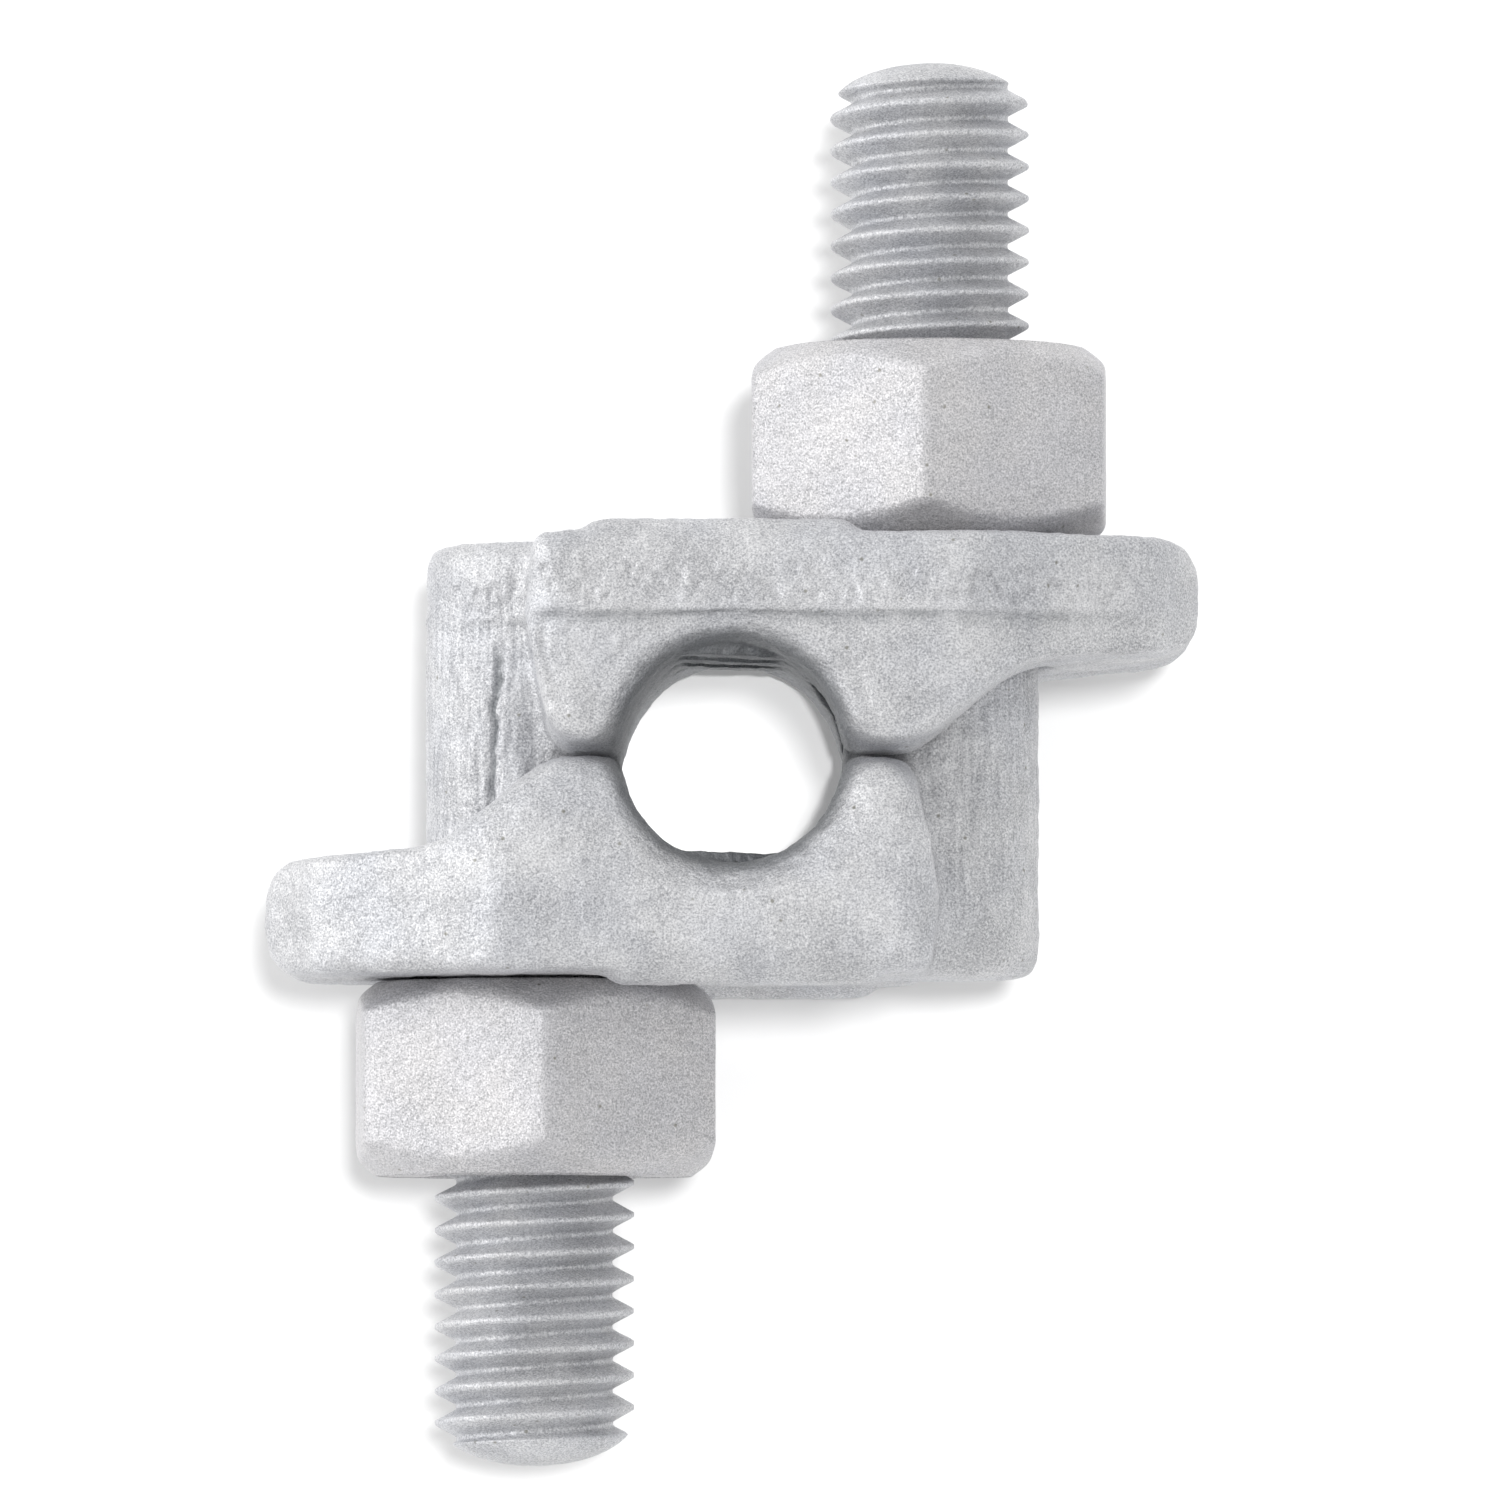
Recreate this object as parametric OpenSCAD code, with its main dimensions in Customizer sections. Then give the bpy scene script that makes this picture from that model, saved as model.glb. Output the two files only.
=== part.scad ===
// Double-saddle wire rope clip for 8 mm rope, drop forged and hot-dip galvanised.
// Two identical halves face each other round the rope. Each half has its own threaded stud
// forged on at its plain end and an ear with a hole at the other, so each stud passes
// through the other half's ear, and a heavy hex nut on it draws the halves together.
// Frame: +Z along the rope, +Y along the studs, +X from the plain end of the upper half to
// its ear. The origin is the middle of the rope channel. Millimetres.

/* [Rope channel] */
// Radius of the rope channel over its lay ridges
seat_r = 5.45; // [5.2:0.05:5.8]
// Radius of the rounded mouth at each end of the channel
mouth_r = 1.2; // [0.4:0.1:1.4]
// Depth of the diagonal grooves that leave the lay ridges between them
groove_depth = 0.6; // [0.3:0.05:0.9]
// Distance between lay grooves along the rope
groove_pitch = 5.2; // [4.4:0.1:6.4]
// Lean of the lay grooves along the rope, in degrees
groove_lean = 40; // [30:1:50]

/* [Saddle] */
// Length of a saddle along the rope, at its parting line
saddle_l = 27; // [24:0.5:32]
// Height of the outer face above the plane where the halves meet
face_h = 10.75; // [10.4:0.05:12]
// Height of the forging's parting line above that plane
parting_h = 6.9; // [6.2:0.1:8]
// Distance from the rope axis to the plain end, at the parting line
plain_end = 10.1; // [9.8:0.1:11]
// Inward lean of the sides above the parting line, in degrees
face_draft = 6; // [2:0.5:9]
// Inward lean of the legs' ends below the parting line, in degrees
leg_draft = 5; // [2:0.5:8]
// Inward lean of the plain end below the parting line, in degrees
end_draft = 11; // [5:0.5:13]
// Distance from the rope axis to the foot of the flank under the ear
flank_foot = 8.9; // [8.6:0.1:9.8]
// Slope of that flank, in degrees
flank_slope = 40; // [34:1:46]
// Space between the legs' tips when the clip is closed without a rope
tip_gap = 0.2; // [0.05:0.05:0.6]
// Height of the low plain panels on the outer face
panel_h = 0.6; // [0.2:0.05:0.8]

/* [Ear] */
// Distance from the rope axis to the ear's nose
ear_reach = 23.05; // [21.5:0.05:25]
// Thickness of the ear where the flank runs out into it
ear_t = 6.2; // [5.8:0.05:7.2]
// Slope of the ear's underside towards its nose, in degrees
ear_slope = 4; // [3:0.5:7]
// Height of the nose's foremost edge above the plane where the halves meet
nose_h = 7.75; // [7.2:0.05:8.2]
// Distance from the rope axis to where the ear starts to narrow
taper_start = 11.2; // [10:0.1:13]
// Angle at which each side of the ear narrows, in degrees
taper_angle = 28; // [20:1:34]

/* [Stud] */
// Distance from the rope axis to each stud's axis
stud_x = 9.8; // [9.6:0.05:10.4]
// Outside diameter of the stud's thread
stud_d = 9.7; // [9.3:0.05:9.9]
// Distance between neighbouring thread crests
thread_pitch = 1.5875; // [1.25:0.0125:1.75]
// Depth of the thread
thread_depth = 0.85; // [0.6:0.05:1]
// Distance from the plane where the halves meet to each stud's tip
stud_reach = 34.8; // [30:0.1:42]
// Diameter of the plain root that is forged with the saddle
root_d = 10.8; // [10.2:0.1:11]
// How far the root runs past the plane where the halves meet
root_l = 6; // [5:0.1:8]
// Clearance of the ear's hole round the root
hole_clear = 0.35; // [0.2:0.05:0.6]

/* [Nut] */
// Distance across the nut's flats
nut_af = 17.46; // [16.5:0.02:18]
// Height of the nut
nut_h = 9.55; // [8.5:0.05:10.5]
// Radial running clearance between the nut's bore and the stud
nut_clear = 0.08; // [0.02:0.01:0.1]
// Space that the zinc leaves between the nut and the saddle's outer face
nut_gap = 0.15; // [0.02:0.01:0.3]
// Angle of the chamfers on both faces, in degrees
nut_chamfer = 36; // [25:1:40]
// Direction of the upper nut's front corner about its stud, in degrees
upper_nut_turn = 92; // [60:1:120]
// Direction of the lower nut's front corner about its stud, in degrees
lower_nut_turn = 86; // [60:1:120]

/* [Hidden] */
$fn = 96;
// Turn between neighbouring points on a rounded corner
arc_step = 12;
// How far a cutting shape runs past what it cuts
over = 1;

saddle_zinc = [0.76, 0.77, 0.78];
nut_zinc = [0.80, 0.81, 0.82];

half_l = saddle_l / 2;
tip_h = tip_gap / 2;
ear_under = face_h - ear_t;
face_in = (face_h - parting_h) * tan(face_draft);
leg_in = (parting_h - tip_h) * tan(leg_draft);
end_in = (parting_h - tip_h) * tan(end_draft);
face_edge_r = 1;

// The ear narrows evenly up to its nose, which is blunt and rounded.
nose_l = 2.6;
nose_half = half_l - (ear_reach - nose_l - taper_start) * tan(taper_angle);
nose_flat = nose_half * 0.55;

stud_r = stud_d / 2;
root_r = root_d / 2;
hole_r = root_r + hole_clear;
// The root's side towards the rope is flat, so that it leaves the channel its full width.
root_flat = seat_r + 0.1;
thread_start = root_l + 1;
tip_chamfer = 1.65;
thread_root_r = stud_r - thread_depth;
crest_flat = thread_pitch / 8;
thread_root_flat = thread_pitch / 4;

nut_corner_r = nut_af / 2 / cos(30);
nut_bore_r = stud_r + nut_clear;
// Round faces that the chamfers leave, nine tenths as wide as the flats are apart
nut_face_r = nut_af / 2 * 0.9;
nut_lead_in = 0.5;

// Unit vector from p towards q
function unit(p, q) = (q - p) / norm(q - p);

// Points of the arc of radius r that rounds the corner at b between a and c
function corner_arc(a, b, c, r) =
    let (
        u = unit(b, a),
        v = unit(b, c),
        half = acos(u * v) / 2,
        centre = b + (u + v) / norm(u + v) * r / sin(half),
        start = b + u * r / tan(half) - centre,
        finish = b + v * r / tan(half) - centre,
        from = atan2(start[1], start[0]),
        turn = atan2(start[0] * finish[1] - start[1] * finish[0], start * finish),
        steps = max(2, ceil(abs(turn) / arc_step))
    )
    [for (i = [0:steps]) centre + r * [cos(from + turn * i / steps), sin(from + turn * i / steps)]];

// Outline through corners [x, y, r], each rounded by its own radius r, or sharp where r is 0
function rounded(corners) =
    let (n = len(corners), at = [for (p = corners) [p[0], p[1]]])
    [for (i = [0:n - 1])
        each (corners[i][2] > 0
            ? corner_arc(at[(i + n - 1) % n], at[i], at[(i + 1) % n], corners[i][2])
            : [at[i]])];

// One side's corners, followed by the same corners mirrored in the outline's x axis
function mirrored(side) =
    concat(side, [for (i = [len(side) - 1:-1:0]) [side[i][0], -side[i][1], side[i][2]]]);

// The upper saddle seen along the rope: plain end at -x, ear at +x
module front_profile() {
    flank_top = flank_foot + (ear_under - tip_h) / tan(flank_slope);
    // The nose leans back a little above and below its foremost edge.
    nose_x = ear_reach - 0.35;
    nose_under = ear_under + (nose_x - flank_top) * tan(ear_slope);
    polygon(rounded([
        [-plain_end + face_in, face_h, 0.8],
        [-plain_end, parting_h, 0],
        [-plain_end + end_in, tip_h, 1.5],
        [flank_foot, tip_h, 1.8],
        [flank_top, ear_under, 5],
        [nose_x, nose_under, 1.8],
        [ear_reach, nose_h, 0],
        [nose_x, face_h, 1.8]
    ]));
}

// The saddle seen along the studs: full length at the plain end, narrowing to the nose
module plan_outline() {
    polygon(rounded(mirrored([
        [-plain_end, half_l, 2],
        [taper_start, half_l, 2.5],
        [ear_reach - nose_l, nose_half, 3],
        [ear_reach, nose_flat, 2.5]
    ])));
}

// The saddle seen from its end, as [height, length]: longest at the parting line
module end_profile() {
    polygon(rounded(mirrored([
        [face_h, half_l - face_in, face_edge_r],
        [parting_h, half_l, 0],
        [tip_h, half_l - leg_in, 1.5]
    ])));
}

// Drafted forging blank: the space that the three outlines share
module saddle_blank() {
    intersection() {
        linear_extrude(height = saddle_l + 2 * over, center = true) front_profile();
        translate([0, face_h + over, 0]) rotate([90, 0, 0])
            linear_extrude(height = face_h + 2 * over) plan_outline();
        translate([-plain_end - over, 0, 0]) rotate([90, 0, 90])
            linear_extrude(height = plain_end + ear_reach + 2 * over) end_profile();
    }
}

// Two low plain panels on the outer face, in front of and behind the sweep of the nut
module face_panels() {
    panel_start = -7;
    panel_end = stud_x - 3.9;
    panel_out = half_l - face_in - face_edge_r;
    panel_in = sqrt(pow(nut_corner_r + 0.3, 2) - pow(stud_x - panel_end, 2));
    for (side = [-1, 1])
        translate([0, face_h + panel_h, 0]) rotate([90, 0, 0])
            linear_extrude(height = panel_h + over) polygon(rounded([
                [panel_start, side * panel_in, 0.7],
                [panel_end, side * panel_in, 0.7],
                [panel_end, side * panel_out, 0.7],
                [panel_start, side * panel_out, 0.7]
            ]));
}

// Round root of the stud, at the plain end: flush with the outer face, flat towards the rope
module stud_root() {
    difference() {
        translate([-stud_x, 0, 0]) rotate([90, 0, 0]) rotate_extrude() polygon(rounded([
            [0, -face_h, 0],
            [root_r, -face_h, 1.2],
            [root_r, root_l, 0],
            [stud_r, thread_start, 0],
            [0, thread_start, 0]
        ]));
        translate([-root_flat, -root_l, -root_r])
            cube([root_r, root_l + tip_h, root_d]);
    }
}

// Stud past its root: the thread drawn as rings of its pitch, depth and outside diameter, with a
// short plain lead at the root and a chamfered and domed tip
module stud_shank() {
    rings = floor((stud_reach - tip_chamfer - thread_start) / thread_pitch) - 1;
    crest_half = crest_flat / 2;
    groove_half = (thread_pitch - thread_root_flat) / 2;
    first = stud_reach - tip_chamfer - (rings + 0.5) * thread_pitch;
    grooves = [for (i = [0:rings - 1]) let (at = first + i * thread_pitch) each [
        [stud_r, at - crest_half, 0],
        [stud_r, at + crest_half, 0],
        [thread_root_r, at + groove_half, 0],
        [thread_root_r, at + thread_pitch - groove_half, 0]
    ]];
    translate([-stud_x, 0, 0]) rotate([90, 0, 0]) rotate_extrude() polygon(rounded(concat(
        [[0, thread_start - over / 2, 0], [stud_r, thread_start - over / 2, 0]],
        grooves,
        [
            [stud_r, first + rings * thread_pitch - crest_half, 0],
            [stud_r, stud_reach - tip_chamfer, 0],
            [stud_r - 1, stud_reach - 0.3, 0.8],
            [0, stud_reach, 0]
        ]
    )));
}

// Straight channel for the rope, with a rounded mouth at each end
module rope_channel() {
    end_z = half_l - leg_in;
    mouth_edge = seat_r + mouth_r + 0.01;
    rotate_extrude() polygon(rounded(mirrored([
        [0, half_l + over, 0],
        [mouth_edge, half_l + over, 0],
        [mouth_edge, end_z, 0],
        [seat_r, end_z, mouth_r]
    ])));
}

// Leaning grooves that bed the rope's strands: deepest over the rope, fading out at its sides
module lay_grooves() {
    groove_r = 1.2;
    ring_r = seat_r + groove_depth - groove_r;
    reach = floor((half_l - mouth_r - groove_r - ring_r * sin(groove_lean) * 0.5) / groove_pitch);
    for (i = [-reach:reach])
        translate([0, 0, i * groove_pitch]) rotate([0, groove_lean, 0])
            rotate_extrude() translate([ring_r, 0]) circle(r = groove_r, $fn = 48);
}

// Hole through the ear and between the ear-side legs for the other half's stud
module ear_hole() {
    translate([stud_x, face_h + over, 0]) rotate([90, 0, 0])
        cylinder(h = face_h + 2 * over, r = hole_r);
}

// One forged half, drawn as the upper one: saddle, legs, ear and stud in one piece
module forged_half() {
    color(saddle_zinc) difference() {
        union() {
            saddle_blank();
            face_panels();
            stud_root();
            stud_shank();
        }
        rope_channel();
        lay_grooves();
        ear_hole();
    }
}

// Heavy hex nut chamfered on both faces, seated on the upper half's ear
module seated_nut(corner_turn) {
    corner_drop = (nut_corner_r + over - nut_face_r) * tan(nut_chamfer);
    color(nut_zinc)
        translate([stud_x, face_h + nut_gap, 0]) rotate([90, 0, 0]) translate([0, 0, -nut_h])
        difference() {
            intersection() {
                rotate(corner_turn) cylinder(h = nut_h, r = nut_corner_r, $fn = 6);
                rotate_extrude() polygon([
                    [0, 0],
                    [nut_face_r, 0],
                    [nut_corner_r + over, corner_drop],
                    [nut_corner_r + over, nut_h - corner_drop],
                    [nut_face_r, nut_h],
                    [0, nut_h]
                ]);
            }
            translate([0, 0, -over]) cylinder(h = nut_h + 2 * over, r = nut_bore_r);
            for (end = [0, 1])
                translate([0, 0, end * nut_h]) mirror([0, 0, end])
                    translate([0, 0, -over]) cylinder(
                        h = over + nut_lead_in,
                        r1 = nut_bore_r + nut_lead_in + over, r2 = nut_bore_r);
        }
}

module upper_saddle() {
    forged_half();
}

module lower_saddle() {
    rotate([0, 0, 180]) forged_half();
}

module upper_nut() {
    seated_nut(upper_nut_turn);
}

module lower_nut() {
    rotate([0, 0, 180]) seated_nut(180 - lower_nut_turn);
}

lower_saddle();
upper_saddle();
upper_nut();
lower_nut();
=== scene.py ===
"""Looks of a double-saddle wire rope clip: drop-forged steel, hot-dip galvanised.

The clip lies on its side, as in its frame: +Z along the rope, +Y along the studs. Two forged
halves, each with its own threaded stud, and two heavy hex nuts ride on their CAD bodies.
"""
import math

import bmesh
import bpy
import numpy as np
from mathutils import Matrix, Vector


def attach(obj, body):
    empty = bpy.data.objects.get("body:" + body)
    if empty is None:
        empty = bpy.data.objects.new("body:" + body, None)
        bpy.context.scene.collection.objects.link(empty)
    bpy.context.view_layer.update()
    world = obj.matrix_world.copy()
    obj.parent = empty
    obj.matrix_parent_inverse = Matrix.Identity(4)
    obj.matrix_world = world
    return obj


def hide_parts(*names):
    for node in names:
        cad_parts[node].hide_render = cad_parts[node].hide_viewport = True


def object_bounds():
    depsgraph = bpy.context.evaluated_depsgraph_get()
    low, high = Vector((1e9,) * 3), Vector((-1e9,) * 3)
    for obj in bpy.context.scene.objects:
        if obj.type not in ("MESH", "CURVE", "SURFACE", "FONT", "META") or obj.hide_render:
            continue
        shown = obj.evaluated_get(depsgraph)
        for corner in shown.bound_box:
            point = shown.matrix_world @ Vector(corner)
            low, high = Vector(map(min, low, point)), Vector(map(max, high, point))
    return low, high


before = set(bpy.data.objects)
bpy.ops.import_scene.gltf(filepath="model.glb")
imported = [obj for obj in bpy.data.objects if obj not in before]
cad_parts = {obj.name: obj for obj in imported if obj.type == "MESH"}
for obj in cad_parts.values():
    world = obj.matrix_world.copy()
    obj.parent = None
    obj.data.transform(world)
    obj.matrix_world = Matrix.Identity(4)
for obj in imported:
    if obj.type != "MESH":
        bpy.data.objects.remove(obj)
cad_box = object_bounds()

MM = 0.001

# The clip's own sizes, in millimetres, as in the frame
STUD_X = 9.8
STUD_REACH = 34.8
FACE_H = 10.75
PARTING_H = 6.9
SEAT_R = 5.45
ROOT_END = 6.9
NUT_FLATS = 17.46
NUT_H = 9.55
NUT_GAP = 0.15
NUT_CHAMFER = math.radians(36)
UPPER_NUT_TURN = 92
LOWER_NUT_TURN = 86

# 3/8 in coarse thread, thickened by its zinc; its blank starts within the stud's root
PITCH = 1.5875
CREST_R = 4.93
ROOT_R = 3.88
THREAD_START = 6.4
TIP_RISE = 2.4
# Height of a thread crest on the side of each stud that faces +X
UPPER_CREST_H = 23.325
LOWER_CREST_H = -27.14


# ---------------------------------------------------------------- small helpers

def linear(hex_colour):
    """sRGB hex colour as linear RGBA."""
    channels = [int(hex_colour[i:i + 2], 16) / 255 for i in (1, 3, 5)]
    return [c / 12.92 if c <= 0.04045 else ((c + 0.055) / 1.055) ** 2.4 for c in channels] + [1.0]


def add(tree, kind, links=None, **settings):
    """Adds a node: its settings first, then its inputs from values or other nodes' sockets."""
    node = tree.nodes.new(kind)
    for name, value in settings.items():
        setattr(node, name, value)
    for key, value in (links or {}).items():
        if isinstance(value, bpy.types.NodeSocket):
            tree.links.new(value, node.inputs[key])
        else:
            node.inputs[key].default_value = value
    return node


def new_object(name, mesh):
    thing = bpy.data.objects.new(name, mesh)
    bpy.context.scene.collection.objects.link(thing)
    return thing


def settled(thing):
    """Applies an object's modifiers to a plain mesh and removes them."""
    evaluated = thing.evaluated_get(bpy.context.evaluated_depsgraph_get())
    mesh = bpy.data.meshes.new_from_object(evaluated)
    thing.modifiers.clear()
    thing.data = mesh
    return thing


def facing_out(mesh):
    """Merges doubles and turns every face outwards."""
    shell = bmesh.new()
    shell.from_mesh(mesh)
    bmesh.ops.remove_doubles(shell, verts=shell.verts, dist=1e-4)
    bmesh.ops.dissolve_degenerate(shell, edges=shell.edges, dist=1e-5)
    bmesh.ops.recalc_face_normals(shell, faces=shell.faces)
    shell.to_mesh(mesh)
    shell.free()


def node_tree(name, sizes):
    """A Geometry Nodes tree with a geometry input and output and named sizes."""
    tree = bpy.data.node_groups.new(name, "GeometryNodeTree")
    tree.interface.new_socket("Geometry", in_out="INPUT", socket_type="NodeSocketGeometry")
    for size in sizes:
        tree.interface.new_socket(size, in_out="INPUT", socket_type="NodeSocketFloat")
    tree.interface.new_socket("Geometry", in_out="OUTPUT", socket_type="NodeSocketGeometry")
    return tree


def run_tree(thing, tree, sizes):
    """Runs a tree on an object with its sizes, and keeps the plain mesh."""
    modifier = thing.modifiers.new(tree.name, "NODES")
    modifier.node_group = tree
    for item in tree.interface.items_tree:
        if item.in_out == "INPUT" and item.name in sizes:
            modifier[item.identifier] = float(sizes[item.name])
    return settled(thing)


def ramps(tree, *factors):
    """Multiplies factors. Each is a socket, a number, or a value with two limits, which counts as
    0 up to the first limit and 1 from the second on; the first may be the greater."""
    result = None
    for factor in factors:
        if isinstance(factor, tuple):
            value, none, full = factor
            factor = add(tree, "ShaderNodeMapRange", {
                "Value": value, "From Min": none, "From Max": full}).outputs[0]
        result = factor if result is None else add(
            tree, "ShaderNodeMath", {0: result, 1: factor}, operation="MULTIPLY").outputs[0]
    return result


# ---------------------------------------------------------------- materials

def galvanised(name, light, dark, grain_mm, mottling):
    """Hot-dip zinc, weathered to a dull light grey: fine crystalline grain, faint mottling where
    the coat cooled unevenly, a few specks of flux, and painted shade: the colour is drawn darker
    where a stored attribute marks hollows, thread roots and the rope channel, where shade falls."""
    material = bpy.data.materials.new(name)
    material.use_nodes = True
    tree = material.node_tree
    tree.nodes.clear()
    place = add(tree, "ShaderNodeTexCoord").outputs["Object"]
    # The real grain is finer than a pixel of the photograph shows; it is drawn at about 0.1 mm
    grain = add(tree, "ShaderNodeTexNoise", {
        "Vector": place, "Scale": 1 / (grain_mm * MM), "Detail": 3.0, "Roughness": 0.7})
    # Patches of about 3 mm where the coat cooled unevenly, and specks about 1.5 mm apart
    mottle = add(tree, "ShaderNodeTexNoise", {
        "Vector": place, "Scale": 1 / (3.2 * MM), "Detail": 3.0, "Roughness": 0.55})
    speck = add(tree, "ShaderNodeTexVoronoi", {
        "Vector": place, "Scale": 1 / (1.5 * MM), "Randomness": 1.0})
    grain_shade = add(tree, "ShaderNodeMapRange", {
        "Value": grain.outputs["Fac"], "From Min": 0.32, "From Max": 0.68,
        "To Min": 0.0, "To Max": 1.0})
    mottle_shade = add(tree, "ShaderNodeMapRange", {
        "Value": mottle.outputs["Fac"], "From Min": 0.35, "From Max": 0.65,
        "To Min": -mottling, "To Max": mottling})
    # Fine lines along the studs, where the attribute streaked says that the trimming tool ran
    drawn_out = add(tree, "ShaderNodeVectorMath", {0: place, 1: (1.0, 0.07, 1.0)},
                    operation="MULTIPLY")
    streak = add(tree, "ShaderNodeTexNoise", {
        "Vector": drawn_out.outputs[0], "Scale": 1 / (0.22 * MM), "Detail": 3.0,
        "Roughness": 0.6})
    streak_shade = add(tree, "ShaderNodeMapRange", {
        "Value": streak.outputs["Fac"], "From Min": 0.35, "From Max": 0.65,
        "To Min": -0.16, "To Max": 0.12})
    streaked = add(tree, "ShaderNodeAttribute", attribute_name="streaked")
    streaks = add(tree, "ShaderNodeMath", {
        0: streak_shade.outputs[0], 1: streaked.outputs["Fac"]}, operation="MULTIPLY")
    uneven = add(tree, "ShaderNodeMath", {
        0: mottle_shade.outputs[0], 1: streaks.outputs[0]}, operation="ADD")
    shade = add(tree, "ShaderNodeMath", {
        0: grain_shade.outputs[0], 1: uneven.outputs[0]}, operation="ADD", use_clamp=True)
    zinc = add(tree, "ShaderNodeMix", {
        "Factor": shade.outputs[0], "A": linear(dark), "B": linear(light)}, data_type="RGBA")
    fleck = add(tree, "ShaderNodeMapRange", {
        "Value": speck.outputs["Distance"], "From Min": 0.04, "From Max": 0.08,
        "To Min": 0.7, "To Max": 0.0})
    flecked = add(tree, "ShaderNodeMix", {
        "Factor": fleck.outputs[0], "A": zinc.outputs["Result"], "B": linear("#7f7d70")},
        data_type="RGBA")
    # A faint bluish cast in patches of about 4 mm
    cast = add(tree, "ShaderNodeTexNoise", {
        "Vector": place, "Scale": 1 / (4.0 * MM), "Detail": 2.0, "Roughness": 0.5})
    cast_shade = add(tree, "ShaderNodeMapRange", {
        "Value": cast.outputs["Fac"], "From Min": 0.4, "From Max": 0.65,
        "To Min": 0.0, "To Max": 0.3})
    tinted = add(tree, "ShaderNodeMix", {
        "Factor": cast_shade.outputs[0], "A": flecked.outputs["Result"],
        "B": linear("#eef1f8")}, data_type="RGBA", blend_type="MULTIPLY")
    # Painted shade: the grey #6f7478 is mixed in where shade falls in hollows, thread roots and
    # the channel
    painted_shade = add(tree, "ShaderNodeAttribute", attribute_name="painted_shade")
    colour = add(tree, "ShaderNodeMix", {
        "Factor": painted_shade.outputs["Fac"], "A": tinted.outputs["Result"], "B": linear("#6f7478")},
        data_type="RGBA")
    # Bright grains are smoother than dark ones
    rough = add(tree, "ShaderNodeMapRange", {
        "Value": grain.outputs["Fac"], "From Min": 0.3, "From Max": 0.7,
        "To Min": 0.62, "To Max": 0.42})
    # The drained coat's skin, like orange peel of about 0.5 mm, stands well over its grain
    peel = add(tree, "ShaderNodeTexNoise", {
        "Vector": place, "Scale": 1 / (0.5 * MM), "Detail": 2.0, "Roughness": 0.6})
    peel_height = add(tree, "ShaderNodeMath", {0: peel.outputs["Fac"], 1: 3.6},
                      operation="MULTIPLY")
    scored = add(tree, "ShaderNodeMath", {
        0: streaks.outputs[0], 1: peel_height.outputs[0]}, operation="ADD")
    height = add(tree, "ShaderNodeMath", {0: grain.outputs["Fac"], 1: scored.outputs[0]},
                 operation="ADD")
    bump = add(tree, "ShaderNodeBump", {
        "Height": height.outputs[0], "Strength": 0.5, "Distance": 0.07 * MM})
    surface = add(tree, "ShaderNodeBsdfPrincipled", {
        "Base Color": colour.outputs["Result"], "Metallic": 0.55,
        "Roughness": rough.outputs[0], "Normal": bump.outputs[0]})
    add(tree, "ShaderNodeOutputMaterial", {"Surface": surface.outputs[0]})
    return material


FORGED_ZINC = galvanised("hot_dip_zinc_on_forging", "#f1f1f2", "#9fa0a4",
                         grain_mm=0.10, mottling=0.12)
NUT_ZINC = galvanised("hot_dip_zinc_on_nut", "#f2f0f1", "#a2a2a4",
                      grain_mm=0.095, mottling=0.05)


# ---------------------------------------------------------------- geometry trees

def place_and_radius(tree):
    """Each point's place, and its distance from the y axis."""
    position = add(tree, "GeometryNodeInputPosition").outputs[0]
    apart = add(tree, "ShaderNodeSeparateXYZ", {0: position}).outputs
    flat = add(tree, "ShaderNodeCombineXYZ", {0: apart[0], 2: apart[2]})
    radius = add(tree, "ShaderNodeVectorMath", {0: flat.outputs[0]}, operation="LENGTH")
    return position, radius.outputs["Value"]


def moved_to_radius(tree, geometry, chosen, position, old_r, new_r):
    """Moves the chosen points straight out or in, from one distance from the y axis to another."""
    safe_r = add(tree, "ShaderNodeMath", {0: old_r, 1: 1e-6}, operation="MAXIMUM")
    ratio = add(tree, "ShaderNodeMath", {0: new_r, 1: safe_r.outputs[0]}, operation="DIVIDE")
    stretch = add(tree, "ShaderNodeCombineXYZ", {0: ratio.outputs[0], 1: 1.0, 2: ratio.outputs[0]})
    place = add(tree, "ShaderNodeVectorMath", {0: position, 1: stretch.outputs[0]},
                operation="MULTIPLY")
    return add(tree, "GeometryNodeSetPosition", {
        "Geometry": geometry, "Selection": chosen, "Position": place.outputs[0]})


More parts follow.
